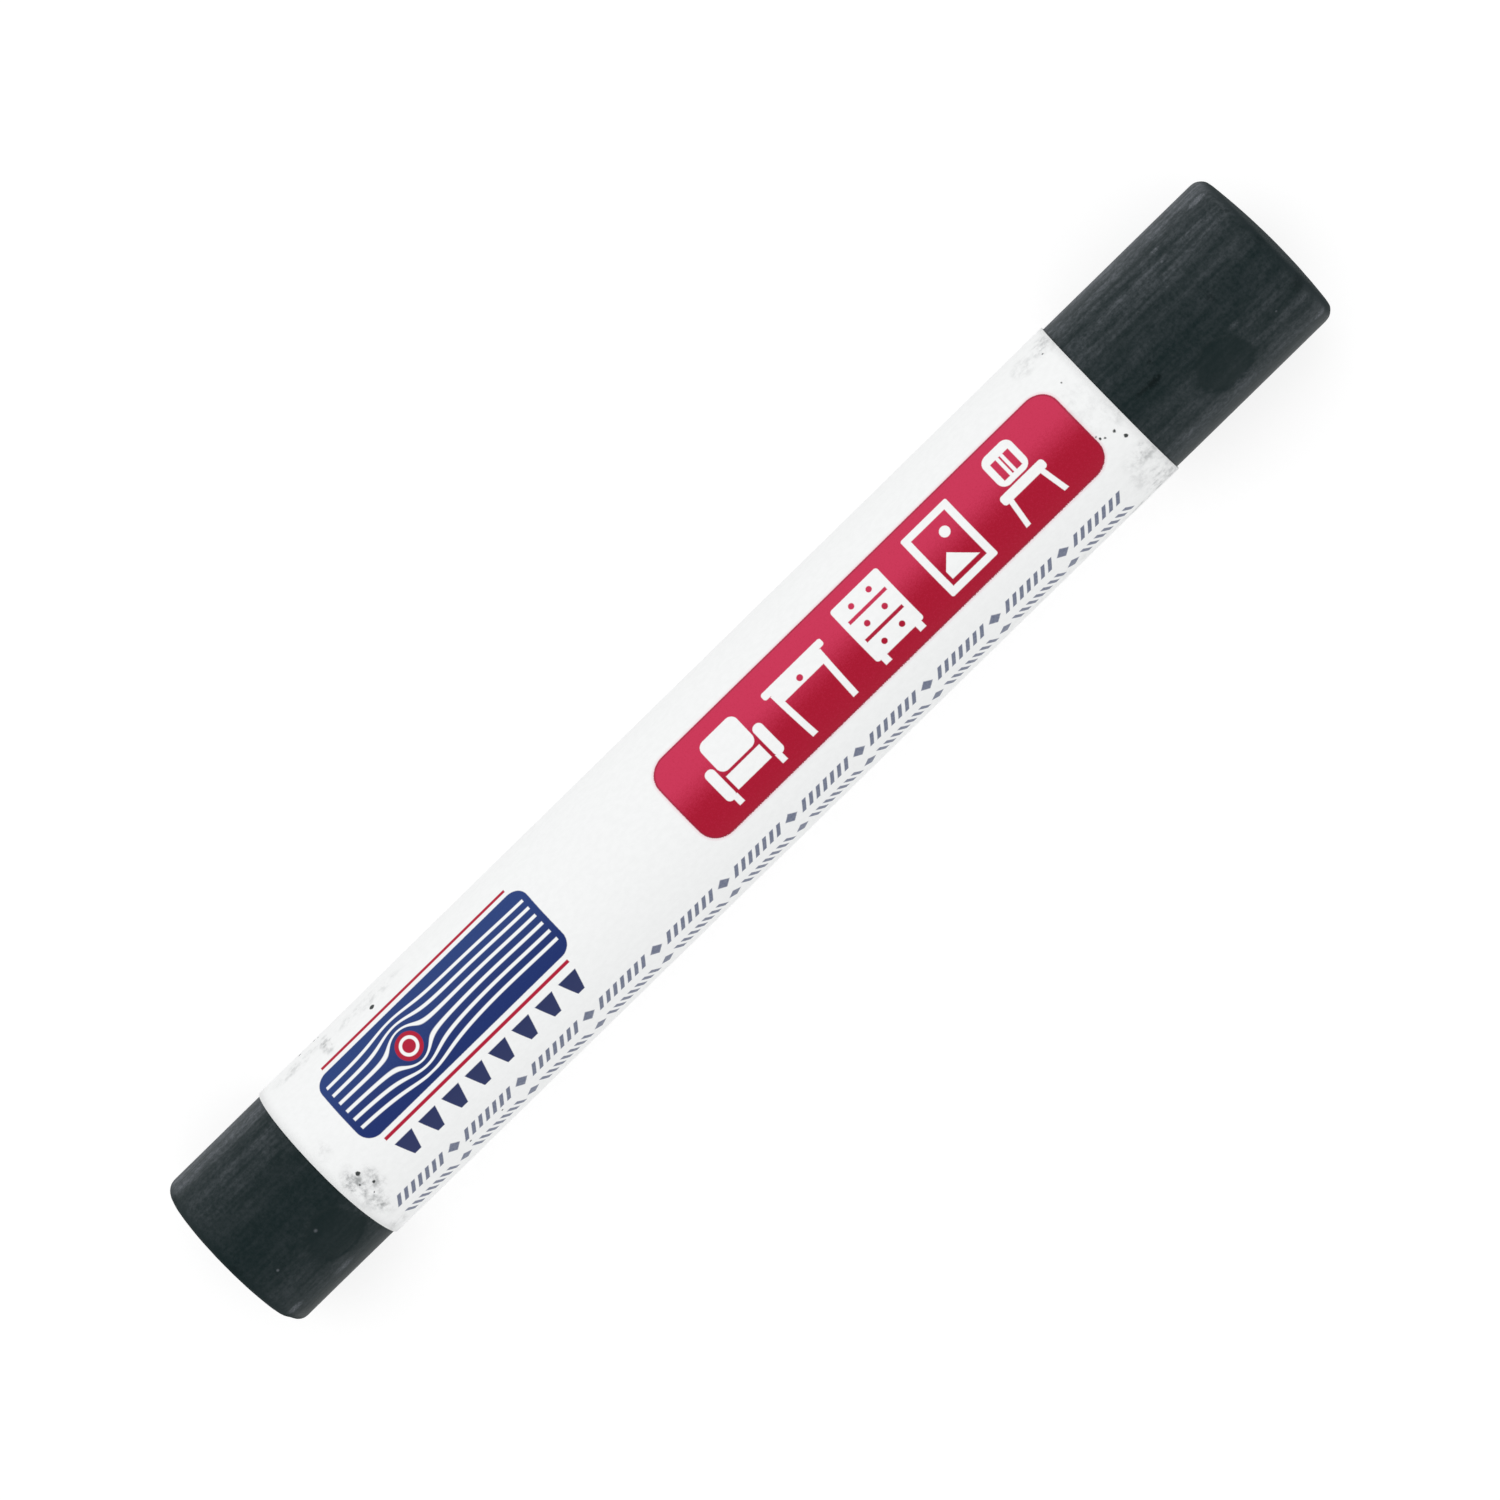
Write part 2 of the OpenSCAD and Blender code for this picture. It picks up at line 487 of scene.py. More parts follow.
def build_wax(material):
    """The whole rod, with its detail on the bare stretches and both ends."""
    lean_reach = 6 * MM
    values = {
        "Columns": 353,
        "Axis height": AXIS_Z,
        "Line depth": 0.020 * MM,
        "Sag depth": 0.030 * MM,
        "Grain depth": 0.010 * MM,
        "Mark depth": MARK_DEPTH,
        "Wear depth": 0.10 * MM,
        "Wear start": LONG_TIP - 1.3 * MM,
        "Wear reach": 0.9 * MM,
        "Wall radius": WAX_R,
        "Lean": math.tan(math.radians(0.7)),
        "Lean start": LONG_TIP - lean_reach,
        "Lean end": LONG_TIP - LONG_RIM_R,
        "Drawn in": 0.02 * MM,
        "Seed": 3.0,
        "Material": material,
    }
    return settled("wax_rod", moulded_rod_tree(), values, rod_profile())


# Rolled label

def rolled_sheet_tree():
    """Rolls a thin flat block round the rod. It climbs onto its own first edge and laps over
    it. The attribute label_mm is each point's place on the flat label, in millimetres: along
    from the short end's edge, round from the top line towards the front, and 1 inside."""
    sizes = ["Rows", "Columns", "Start", "Length", "Inner radius", "Thickness", "Axis height",
             "First edge turn", "Lap width", "Climb width", "Climb height", "Unevenness",
             "Edge lift", "Short edge inset", "Short edge skew", "Print radius", "Print start",
             "Seed"]
    tree, size = shape_tree("rolled_sheet", sizes)
    unit = {"Size": (1, 1, 1), "Vertices X": size["Rows"], "Vertices Y": size["Columns"],
            "Vertices Z": 2}
    block = add_node(tree, "GeometryNodeMeshCube", unit, output="Mesh")

    x, y, z = parts_of(add_node(tree, "GeometryNodeInputPosition"))
    along, across, up = x + 0.5, y + 0.5, z + 0.5
    on_faces = {"data_type": "FLOAT_VECTOR", "domain": "FACE"}
    facing = add_node(tree, "GeometryNodeInputNormal", output="Normal")
    facing = facing.node("GeometryNodeFieldOnDomain", {"Value": facing}, on_faces)
    face_x, face_y, face_z = parts_of(facing)
    outer, inner = face_z.over(0.5), (-face_z).over(0.5)
    side, end = abs(face_y).over(0.5), abs(face_x).over(0.5)

    # Up the map the outside has most of the room, then come the inside and the four edges
    outer_room, inner_room, edge_room = 0.90, 0.06, 0.004
    inner_start, side_start, end_start = 0.915, 0.979, 0.990
    next_edge = 0.005
    outer_v = across * outer_room
    inner_v = across * inner_room + inner_start
    side_v = face_y.over(0) * next_edge + up * edge_room + side_start
    end_v = face_x.over(0) * next_edge + up * edge_room + end_start
    map_v = outer * outer_v + inner * inner_v + side * side_v + end * end_v
    map_u = along * (1 - end) + across * end
    sheet = stored(block, "OFBake", "FLOAT2", "CORNER", combined(map_u, map_v, 0.0))

    start_turn, lap_turn = size["First edge turn"], size["Lap width"] / size["Inner radius"]
    lap_start = start_turn + FULL_TURN
    turn = start_turn + across * (lap_turn + FULL_TURN)

    # The short edge is cut a little askew, between these two turns
    skew_start, skew_end = 0.1, 1.5
    cut = size["Short edge inset"] + turn.ramp(skew_start, skew_end) * size["Short edge skew"]
    rod_x = size["Start"] + along * size["Length"] + (1 - along) * cut
    flat_u = (rod_x - size["Print start"]) / MM
    flat_place = combined(flat_u, turn * size["Print radius"] / MM, 1 - up)
    sheet = stored(sheet, "label_mm", "FLOAT_VECTOR", "POINT", flat_place)

    # Round the rod both faces are smooth, and the edges are flat
    flat = {"Geometry": sheet, "Shade Smooth": False}
    sheet = sheet.node("GeometryNodeSetShadeSmooth", flat)
    smooth = {"Geometry": sheet, "Selection": outer + inner}
    sheet = sheet.node("GeometryNodeSetShadeSmooth", smooth)

    # The sheet climbs onto its first edge, is a little uneven, and its last edge lifts
    climb = turn.ramp(lap_start - size["Climb width"] / size["Inner radius"], lap_start)
    level = size["Inner radius"] + climb * size["Climb height"]
    radius = level + up * size["Thickness"]
    seed = size["Seed"]
    rolled_mm = combined(rod_x, turn.sine() * radius, turn.cosine() * radius)
    rolled_mm = stretched(rolled_mm, TO_MM)
    waves = noise(rolled_mm, scale=0.16, detail=2.0, roughness=0.55, seed=seed)
    ripples = noise(rolled_mm, scale=0.7, detail=2.0, roughness=0.5, seed=seed)
    uneven = waves * 0.7 + ripples * 0.3
    lap_end = lap_start + lap_turn
    edge_near = turn.ramp(lap_end - lap_turn / 4, lap_end)
    along_only = stretched(rolled_mm, (0.09, 0, 0))
    lifted = noise(along_only, scale=1.0, detail=1.0, roughness=0.5, seed=seed).ramp(0.45, 0.75)
    radius = radius - up * uneven * size["Unevenness"] + edge_near * lifted * size["Edge lift"]
    rolled_y, rolled_z = -(turn.sine() * radius), turn.cosine() * radius + size["Axis height"]
    sheet = placed(sheet, combined(rod_x, rolled_y, rolled_z))
    sheet = sheet.node("GeometryNodeFlipFaces", {"Mesh": sheet})
    finish_tree(tree, sheet, size["Material"])
    return tree


def roll_sheet(name, tree, rows, columns, inner_r, outer_r, inset, uneven, material):
    """One layer of the label, with its number of points along the rod and round it."""
    values = {
        "Rows": rows,
        "Columns": columns,
        "Start": LABEL_START + inset,
        "Length": LABEL_LEN - 2 * inset,
        "Inner radius": inner_r,
        "Thickness": outer_r - inner_r,
        "Axis height": AXIS_Z,
        "First edge turn": FIRST_EDGE_TURN,
        "Lap width": LAP_W,
        "Climb width": CLIMB_W,
        "Climb height": PAPER_R - WAX_R,
        "Unevenness": uneven,
        "Edge lift": 0.05 * MM,
        "Short edge inset": 0.045 * MM,
        "Short edge skew": 0.13 * MM,
        "Print radius": PAPER_R,
        "Print start": LABEL_START,
        "Seed": 11.0,
        "Material": material,
    }
    return settled(name, tree, values)


# Wax

# Bright dust on the wax: along the rod, turn in degrees, size, and how bright
DUST = [
    Spot(SHORT_TIP + 4.9 * MM, 63, 1.1 * MM, 0.95),
    # This spot near the short tip is partly dust and partly a painted highlight
    Spot(SHORT_TIP + 1.1 * MM, 58, 0.9 * MM, 1.4),
    Spot(SHORT_TIP + 3.4 * MM, 40, 1.6 * MM, 0.18),
    Spot(LABEL_END + 6.9 * MM, -24, 0.6 * MM, 0.55),
    Spot(LONG_TIP - 1.6 * MM, -57, 1.0 * MM, 2.0),
    Spot(LABEL_END + 7.8 * MM, -50.5, 0.6 * MM, 1.25),
    Spot(LABEL_END + 8.1 * MM, 21, 0.7 * MM, 0.50),
    Spot(LONG_TIP - 1.1 * MM, 41, 0.7 * MM, 0.60),
    Spot(LONG_TIP - 0.9 * MM, 64, 1.0 * MM, 1.40),
    Spot(LONG_TIP - 3.0 * MM, 118, 1.1 * MM, 0.3),
    Spot(SHORT_TIP + 2.5 * MM, -130, 0.8 * MM, 0.35),
]
# Small round crumbs of pale dust
CRUMBS = [
    Spot(SHORT_TIP + 5.5 * MM, 25, 0.40 * MM, 1.5),
    Spot(SHORT_TIP + 2.3 * MM, 26, 0.30 * MM, 1.3),
    Spot(LABEL_END + 7.7 * MM, -39.6, 0.40 * MM, 1.2),
    Spot(LABEL_END + 10.4 * MM, 34, 0.24 * MM, 1.0),
    Spot(LONG_TIP - 2.2 * MM, 108, 0.30 * MM, 1.2),
    Spot(SHORT_TIP + 3.9 * MM, -112, 0.30 * MM, 1.2),
]

# The most that the bloom and its painted sheen add up to, where their colour is the palest
BLOOM_AND_SHEEN_LIMIT = 1.5
WAX_BARE = srgb(11, 28, 29)
WAX_BLOOM_AND_SHEEN = srgb(101, 105, 110)
# Painted shade for the insides of the slit and the pits
WAX_HOLLOW_SHADE = srgb(0, 15, 16)

# Noises that the parts of the wax's finish share: streaks along the rod, broad and fine,
# then clouds, grain and dust
Noises = namedtuple("Noises", "bands lines clouds grain dust")


def wax_noises(place):
    return Noises(
        bands=noise(stretched(place, (0.03, 1, 1)), scale=0.9, detail=3.0, roughness=0.62),
        lines=noise(stretched(place, (0.06, 1, 1)), scale=3.0, detail=2.0, roughness=0.55),
        clouds=noise(stretched(place, (0.7, 1, 1)), scale=0.9, detail=3.0, roughness=0.6),
        grain=noise(place, scale=4.0, detail=3.0, roughness=0.7),
        dust=noise(place, scale=8.0, detail=2.0, roughness=0.6),
    )


def spot_mm(spot, factors=(1, 1, 1)):
    """Where a spot is on the rod's wall, in millimetres stretched by the factors."""
    return tuple(part / MM * factor for part, factor in zip(on_surface(spot), factors))


def off_marks(place, wax):
    """0 on the ejector marks and 1 elsewhere. The edges of the marks aren't quite round,
    because the wax flowed over them."""
    flowed = (wax.clouds - 0.5) * 1.3 + (wax.grain - 0.5) * 0.6
    edges = [distance_to(place, spot_mm(mark)) + flowed - mark.size / 2 / MM for mark in MARKS]
    off_short, off_long = [edge.ramp(-0.25, 0.42) for edge in edges]
    return off_short * off_long


def side_bloom_and_sheen(along, back, up):
    """Bloom that is thin on top and thicker down both sides, and thicker on the long end. The pale
    sides are partly dust and partly a painted sheen, and along the back edge a painted highlight
    is added. Low on the front side it is thinner again. The place is in millimetres, back and up
    from the axis."""
    label_reach = (LABEL_START / MM, LABEL_END / MM)
    middle = along.ramp(*label_reach, 0.02, 0.07)
    bloom_and_sheen = back.ramp(-0.2, 4.6, middle, 0.34).at_least(back.ramp(-1.0, -5.2, middle, 0.30))
    bloom_and_sheen = bloom_and_sheen * along.ramp(*label_reach, 0.65, 1.1)
    # Along the back edge the bloom rises steeply: a painted highlight, the bright edge of a
    # reflection
    bloom_and_sheen = bloom_and_sheen + back.ramp(4.5, 5.6) * along.ramp(*label_reach, 0.72, 0.5)
    return bloom_and_sheen - up.ramp(3.4, 1.6) * back.ramp(-1.0, -3.0) * 0.18


def dusted(bloom_and_sheen, place, wax):
    """The bloom and painted sheen with patches of dust and crumbs on it."""
    speckle = wax.dust.ramp(0.42, 0.7, 0.6, 1.4)
    drawn_out = (0.4, 1, 1)
    for spot in DUST:
        near = distance_to(stretched(place, drawn_out), spot_mm(spot, drawn_out))
        patch = near.ramp(spot.size / 2 / MM, 0) * spot.strength
        bloom_and_sheen = bloom_and_sheen.at_least(patch * speckle)
    for crumb in CRUMBS:
        near = distance_to(place, spot_mm(crumb))
        bloom_and_sheen = bloom_and_sheen.at_least(near.ramp(crumb.size / 2 / MM, 0) * crumb.strength)
    return bloom_and_sheen


def hollow_shade(place, wax):
    """How much painted shade is inside the slit and the pits, from 0 to 1."""
    shades = []
    for groove in GROOVES:
        factors = (MM / groove.length, MM / groove.width, MM / (4 * groove.width))
        away = distance_to(stretched(place, factors), spot_mm(groove, factors))
        away = away + (wax.grain - 0.5) * 1.3
        shades.append(away.ramp(0.65, 0.2, 0, groove.depth / GROOVES[0].depth))
    for pit in PITS:
        away = distance_to(place, spot_mm(pit))
        away = away + (wax.grain - 0.5) * 0.9 + (wax.clouds - 0.5) * 0.5
        shades.append(away.ramp(pit.size * 0.75 / MM, 0.0, 0, 0.6))
    return highest(shades)


def wax_material():
    """Hard dark wax: draw lines along the rod, a dusty bloom that is partly painted sheen on the
    sides, smooth dark ejector marks, and painted shade in the slit and the pits.
    """
    material = new_material("dark_filler_wax")
    tree = material.node_tree
    place = stretched(add_node(tree, "ShaderNodeTexCoord", output="Object"), TO_MM)
    wax = wax_noises(place)
    along, back, up = parts_of(place)
    up = up - AXIS_Z / MM

    # Bloom that is partly dust and partly a painted sheen on the sides
    sides = side_bloom_and_sheen(along, back, up)
    bloom_and_sheen = sides * wax.bands.ramp(0.37, 0.63, 0.50, 1.35)
    bloom_and_sheen = bloom_and_sheen * wax.lines.ramp(0.36, 0.64, 0.75, 1.25)
    bloom_and_sheen = bloom_and_sheen * wax.clouds.ramp(0.35, 0.65, 0.75, 1.25)
    bloom_and_sheen = bloom_and_sheen * wax.grain.ramp(0.36, 0.64, 0.65, 1.35)
    mottling = (wax.grain - 0.5) * 0.26 + (wax.clouds - 0.5) * 0.14 + (wax.lines - 0.5) * 0.16
    bloom_and_sheen = (bloom_and_sheen + mottling + 0.03) * off_marks(place, wax).ramp(0, 1, 0.29, 1.0)
    bloom_and_sheen = dusted(bloom_and_sheen, place, wax)

    # Towards both tips the wax is rubbed smooth and dull, and the end faces have an even bloom
    rubbed_from, rubbed_to = 1.0, 0.4
    tip_gap = (LONG_TIP / MM - along).at_most(along - SHORT_TIP / MM)
    end = tip_gap.ramp(rubbed_from, rubbed_to)
    bloom_and_sheen = bloom_and_sheen * (1 - end) + (sides * 0.7 + (wax.grain - 0.3) * 0.12) * end
    face_from, face_to = WAX_R / MM - 0.15, WAX_R / MM - 0.75
    face = (back * back + up * up).root().ramp(face_from, face_to)
    clouded = noise(place, scale=0.5, detail=2.0, roughness=0.5)
    face_bloom = clouded.ramp(0.3, 0.7, 0.10, 0.21) * wax.grain.ramp(0.3, 0.7, 0.85, 1.15)
    bloom_and_sheen = bloom_and_sheen * (1 - face) + face_bloom * face

    bloom_and_sheen = bloom_and_sheen.at_least(0.0).at_most(BLOOM_AND_SHEEN_LIMIT)
    colour = mixed(bloom_and_sheen / BLOOM_AND_SHEEN_LIMIT, WAX_BARE, WAX_BLOOM_AND_SHEEN)
    # Painted shade darkens the insides of the slit and the pits
    colour = mixed(hollow_shade(place, wax), colour, WAX_HOLLOW_SHADE)
    roughness = bloom_and_sheen * 0.22 + 0.44 + wax.grain * 0.05 + end * 0.4
    relief = wax.lines * 0.3 + wax.grain * 0.5 + wax.dust * 0.25
    fixed = {"Specular IOR Level": 0.10}
    driven = {"Base Color": colour, "Roughness": roughness}
    finish_material(tree, fixed, driven, relief, relief_depth=0.02 * MM)
    return material


# Label print, in millimetres on the flat label: u, left and right along the rod from the short
# end's edge, v, back and front round it from the top line

Area = namedtuple("Area", "left right back front")
RED_PANEL = Area(29.65, 61.85, -3.5, 2.8)
RED_CORNER = 1.45
BLUE_PANEL = Area(3.2, 19.9, -4.2, 0.95)
BLUE_CORNER = 1.0
TAILS = Area(4.0, 19.2, 2.0, 3.35)
TAIL_PITCH, TAIL_SLOPE = 1.9, 0.32

INK_RED = srgb(176, 20, 52)
INK_RED_TOP_AND_HIGHLIGHT = srgb(201, 46, 83)
INK_RED_FOOT = srgb(166, 5, 42)
INK_RED_EDGE = srgb(140, 26, 52)
INK_RED_HALO = srgb(236, 176, 190)
INK_BLUE_TOP = srgb(36, 62, 122)
INK_BLUE_FOOT = srgb(24, 45, 106)
INK_NAVY = srgb(40, 50, 94)
INK_SLATE = srgb(84, 94, 122)
# Across each panel its ink goes from the top colour to the foot colour, from v to v. On the red
# panel the paler, pinker top is partly print and partly a painted highlight.
RED_FADE, BLUE_FADE = (-1.7, 0.8), (-4.0, 0.8)
PAPER_WHITE = srgb(245, 246, 246)
PAPER_DULL = srgb(242, 243, 243)
WAX_SMEAR = srgb(104, 108, 110)
WAX_SPECK = srgb(58, 62, 62)
INK_BLUR = 0.06


def rounded_area(u, v, area, corner):
    """Signed distance to an area with round corners, negative inside."""
    across = abs(u - (area.left + area.right) / 2) - ((area.right - area.left) / 2 - corner)
    along = abs(v - (area.back + area.front) / 2) - ((area.front - area.back) / 2 - corner)
    out_u, out_v = across.at_least(0.0), along.at_least(0.0)
    outside = (out_u * out_u + out_v * out_v).root()
    return outside + across.at_least(along).at_most(0.0) - corner


def bar(x, y, left, right, top, bottom):
    """Signed distance to a bar with sharp corners, negative inside."""
    across = abs(x - (left + right) / 2) - (right - left) / 2
    along = abs(y - (top + bottom) / 2) - (bottom - top) / 2
    return across.at_least(along)


def disc(x, y, x0, y0, radius):
    """Signed distance to a disc, negative inside."""
    away_x, away_y = x - x0, y - y0
    return (away_x * away_x + away_y * away_y).root() - radius


def together(*shapes):
    """Signed distance to the nearest of the shapes."""
    return reduce(Wire.at_most, shapes)


def without(shape, *holes):
    """Signed distance to a shape that has the holes cut out."""
    return highest([shape, *(-hole for hole in holes)])


def inked(distance, blur=INK_BLUR):
    """1 inside a shape and 0 outside, with an edge as soft as a print's."""
    return distance.ramp(blur / 2, -blur / 2)


# Furniture signs, in the signs' own units from a sign's middle, y towards its foot. side is
# the distance from the middle line, so that one shape is drawn on both sides.

def chair_sign(x, y, side):
    back = rounded_area(x, y, Area(-1.0, 1.0, -2.1, -0.1), 0.5)
    slots = together(bar(side, y, 0.24, 0.62, -1.55, -0.42),
                     bar(x, y, -0.05, 0.05, -1.55, -0.42))
    seat = rounded_area(x, y, Area(-1.5, 1.5, 0.02, 0.56), 0.2)
    leg = bar(side - y * 0.16, y, 0.86, 1.16, 0.5, 2.1)
    return together(without(back, slots), seat, leg)


def table_sign(x, y, side):
    top = rounded_area(x, y, Area(-2.1, 2.1, -1.35, -0.92), 0.15)
    apron = without(bar(x, y, -1.7, 1.7, -0.98, -0.22), disc(x, y, 0.0, -0.56, 0.18))
    leg = bar(side + y * 0.05, y, 1.36, 1.72, -0.9, 2.1)
    return together(top, apron, leg)


def chest_sign(x, y, side):
    body = rounded_area(x, y, Area(-1.65, 1.65, -1.95, 1.7), 0.18)
    gaps = [bar(x, y, -1.3, 1.3, top, top + 0.2) for top in (-0.86, 0.38)]
    knobs = [disc(side, y, 0.62, knob_y, 0.17) for knob_y in (-1.35, -0.14, 1.12)]
    foot = bar(side, y, 1.0, 1.42, 1.6, 2.1)
    return together(without(body, *gaps, *knobs), foot)


def frame_sign(x, y, side):
    rim = rounded_area(x, y, Area(-1.6, 1.6, -2.0, 2.0), 0.12)
    window = bar(x, y, -1.18, 1.18, -1.58, 1.58)
    sun = disc(x, y, 0.42, -0.72, 0.3)
    hill = (abs(x + 0.25) - y + 0.1).at_least(y - 1.3).at_least(side - 0.95)
    return together(without(rim, window), sun, hill)


def armchair_sign(x, y, side):
    back = rounded_area(x, y, Area(-1.25, 1.25, -1.75, 0.25), 0.45)
    seat = bar(x, y, -1.18, 1.18, 0.42, 1.35)
    arm = rounded_area(side, y, Area(1.38, 2.0, -0.45, 1.55), 0.28)
    foot = bar(side, y, 1.35, 1.7, 1.4, 2.0)
    return together(back, seat, arm, foot)


def panel_signs(u, v):
    """The row of furniture signs on the red panel, as a signed distance."""
    signs = (armchair_sign, table_sign, chest_sign, frame_sign, chair_sign)
    pitch, unit = 5.7, 1.14
    middle_u = (RED_PANEL.left + RED_PANEL.right) / 2
    middle_v = (RED_PANEL.back + RED_PANEL.front) / 2
    first = middle_u - pitch * (len(signs) - 1) / 2
    shapes = []
    for i, sign in enumerate(signs):
        x, y = (u - (first + i * pitch)) / unit, (v - middle_v) / unit
        shapes.append(sign(x, y, abs(x)) * unit)
    return together(*shapes)


def dovetails(u, v, area, pitch, slope):
    """A row of the tails of a dovetail joint, as a signed distance."""
    step = (u - area.left) / pitch
    from_middle = abs(step.fraction() - 0.5) * pitch
    middle_v = (area.back + area.front) / 2
    tail = from_middle - pitch / 4 + (v - middle_v) * slope
    return tail.at_least(bar(u, v, area.left, area.right, area.back, area.front))


def wood_knot(u, v):
    """Grain lines that part round a knot on the blue panel, and the knot, as two masks."""
    knot_u, knot_v, knot_r = 8.9, -1.625, 1.0
    rim_w, rim_gap, ring_r = 0.12, 0.10, 0.52
    line_gap, line_w, lines_each_way = 0.62, 0.2, 3
    wave_rate, wave_h = 0.55, 0.05
    field_inset = 0.42

    # The lines flow round the knot as a stream does round a post
    x, y = u - knot_u, v - knot_v + (u * wave_rate).sine() * wave_h
    reach = x * x + y * y
    flow = y - y * (knot_r ** 2) / reach.at_least(0.01)
    lines = abs((flow / line_gap).fraction() - 0.5) * line_gap - line_w / 2
    lines = lines.at_least(abs(flow) - lines_each_way * line_gap)
    field = Area(BLUE_PANEL.left + field_inset, BLUE_PANEL.right - field_inset,
                 BLUE_PANEL.back + field_inset, BLUE_PANEL.front - field_inset)
    away = reach.root()
    clipped = rounded_area(u, v, field, BLUE_CORNER - field_inset)
    lines = lines.at_least(clipped).at_least(knot_r + rim_gap - away)
    ring = abs(away - ring_r) - line_w / 2
    knot = away - (knot_r - rim_w)
    return inked(lines).at_least(inked(ring)), inked(knot)


def panel_pinstripes(u, v):
    """A thin line above and one below the blue panel."""
    inset, gap, width = 0.9, 0.32, 0.22
    left, right = BLUE_PANEL.left + inset, BLUE_PANEL.right - inset
    above, below = BLUE_PANEL.back - gap, BLUE_PANEL.front + gap
    return together(bar(u, v, left, right, above - width, above),
                    bar(u, v, left, right, below, below + width))


# Rows of slanted bars with a lozenge now and then, like an inlaid band on furniture: left and
# middle on the flat label, height, and how far the bars lean for their height
Band = namedtuple("Band", "left middle height lean")
INLAY_BANDS = [
    Band(1.7, 5.15, 0.90, 0.55),
    Band(1.7, 6.85, 0.84, -0.55),
]
BAR_PITCH, BAR_W = 0.568, 0.30
LOZENGE_W = 0.95
BARS_IN_GROUP, GROUPS = 7, 11


def inlay_band(u, v, band):
    """A row of groups of slanted bars, a lozenge after each group, as a signed distance."""
    half = band.height / 2
    bars_len = BARS_IN_GROUP * BAR_PITCH
    period = bars_len + LOZENGE_W + BAR_PITCH
    off_middle = v - band.middle
    leaned = ((u - band.left + off_middle * band.lean) / period).fraction() * period
    bars = abs((leaned / BAR_PITCH).fraction() - 0.5) * BAR_PITCH - BAR_W / 2
    bars = bars.at_least(leaned - bars_len)
    upright = ((u - band.left) / period).fraction() * period
    lozenge_u = (period + bars_len) / 2
    across = abs(upright - lozenge_u) / (LOZENGE_W / 2) + abs(off_middle) / half
    lozenge = (across - 1) * (LOZENGE_W * half / 2)
    lean_room = half * abs(band.lean)
    left, right = band.left - lean_room, band.left + GROUPS * period - LOZENGE_W - BAR_PITCH
    row = bar(u, v, left, right + lean_room, band.middle - half, band.middle + half)
    return together(bars, lozenge).at_least(row)


# Places where dark wax has rubbed off on the label, and specks of it
Smudge = namedtuple("Smudge", "u v reach_u reach_v strength")
SMUDGES = [
    Smudge(1.0, 2.2, 0.8, 1.5, 0.95),
    Smudge(1.9, 2.6, 0.9, 1.4, 0.60),
    Smudge(1.15, 4.1, 0.6, 1.7, 0.75),
    Smudge(1.2, 3.2, 1.1, 2.9, 0.50),
    Smudge(0.9, 6.9, 0.9, 1.0, 0.35),
    Smudge(1.0, -0.6, 0.7, 0.9, 0.25),
    Smudge(5.2, -6.1, 0.6, 1.4, 0.60),
    Smudge(3.0, -6.8, 2.4, 0.8, 0.35),
    Smudge(8.6, -6.4, 3.4, 0.8, 0.30),
    Smudge(63.3, -5.9, 1.0, 1.4, 0.50),
    Smudge(61.6, -5.7, 1.1, 1.2, 0.28),
    Smudge(63.6, 0.6, 0.6, 1.3, 0.30),
    Smudge(62.6, -0.6, 1.4, 2.6, 0.16),
    Smudge(63.3, 3.9, 1.4, 1.0, 0.55),
    Smudge(63.5, 7.3, 2.2, 2.0, 0.62),
    Smudge(62.7, 5.2, 1.7, 2.6, 0.32),
    Smudge(62.4, 8.5, 3.6, 1.1, 0.60),
    Smudge(55.0, 7.6, 7.0, 0.9, 0.16),
    Smudge(62.5, 13.0, 2.4, 3.0, 0.35),
    Smudge(2.0, -13.0, 2.2, 3.2, 0.35),
]
Speck = namedtuple("Speck", "u v radius")
SPECKS = [
    Speck(1.56, 1.70, 0.15), Speck(1.87, 2.75, 0.10), Speck(8.67, -5.5, 0.17),
    Speck(62.05, 1.3, 0.07), Speck(62.95, 1.55, 0.10), Speck(63.25, 2.25, 0.13),
    Speck(61.95, 1.05, 0.06), Speck(62.3, 1.45, 0.06), Speck(63.05, -5.25, 0.06),
    Speck(62.7, -2.7, 0.05), Speck(3.4, -8.1, 0.10), Speck(4.6, -8.2, 0.09),
    Speck(4.9, -8.0, 0.06), Speck(60.9, 9.6, 0.12), Speck(3.3, 11.8, 0.11),
    Speck(7.3, 5.9, 0.06), Speck(9.9, 5.9, 0.05), Speck(1.4, 3.3, 0.05),
    Speck(1.15, 2.3, 0.06),
]


def soiling(u, v, place):
    """Dark wax on the label, as two masks: what is rubbed onto it, and the specks."""
    blots = noise(place, scale=1.3, detail=5.0, roughness=0.66).ramp(0.42, 0.68)
    streaks = stretched(place, (1.0, 0.45, 1))
    scuffs = noise(streaks, scale=4.0, detail=3.0, roughness=0.65).ramp(0.42, 0.70)
    smudges = []
    for smudge in SMUDGES:
        away_u, away_v = (u - smudge.u) / smudge.reach_u, (v - smudge.v) / smudge.reach_v
        smudges.append((away_u * away_u + away_v * away_v).ramp(1.0, 0.0) * smudge.strength)
    rubbed = (highest(smudges) * (blots * 0.85 + scuffs * 0.2)).at_most(0.7)
    ragged = noise(place, scale=7.0, detail=2.0, roughness=0.5) * 0.16 - 0.08
    specks = [inked(disc(u, v, *speck) + ragged, blur=0.08) for speck in SPECKS]
    return rubbed, highest(specks)


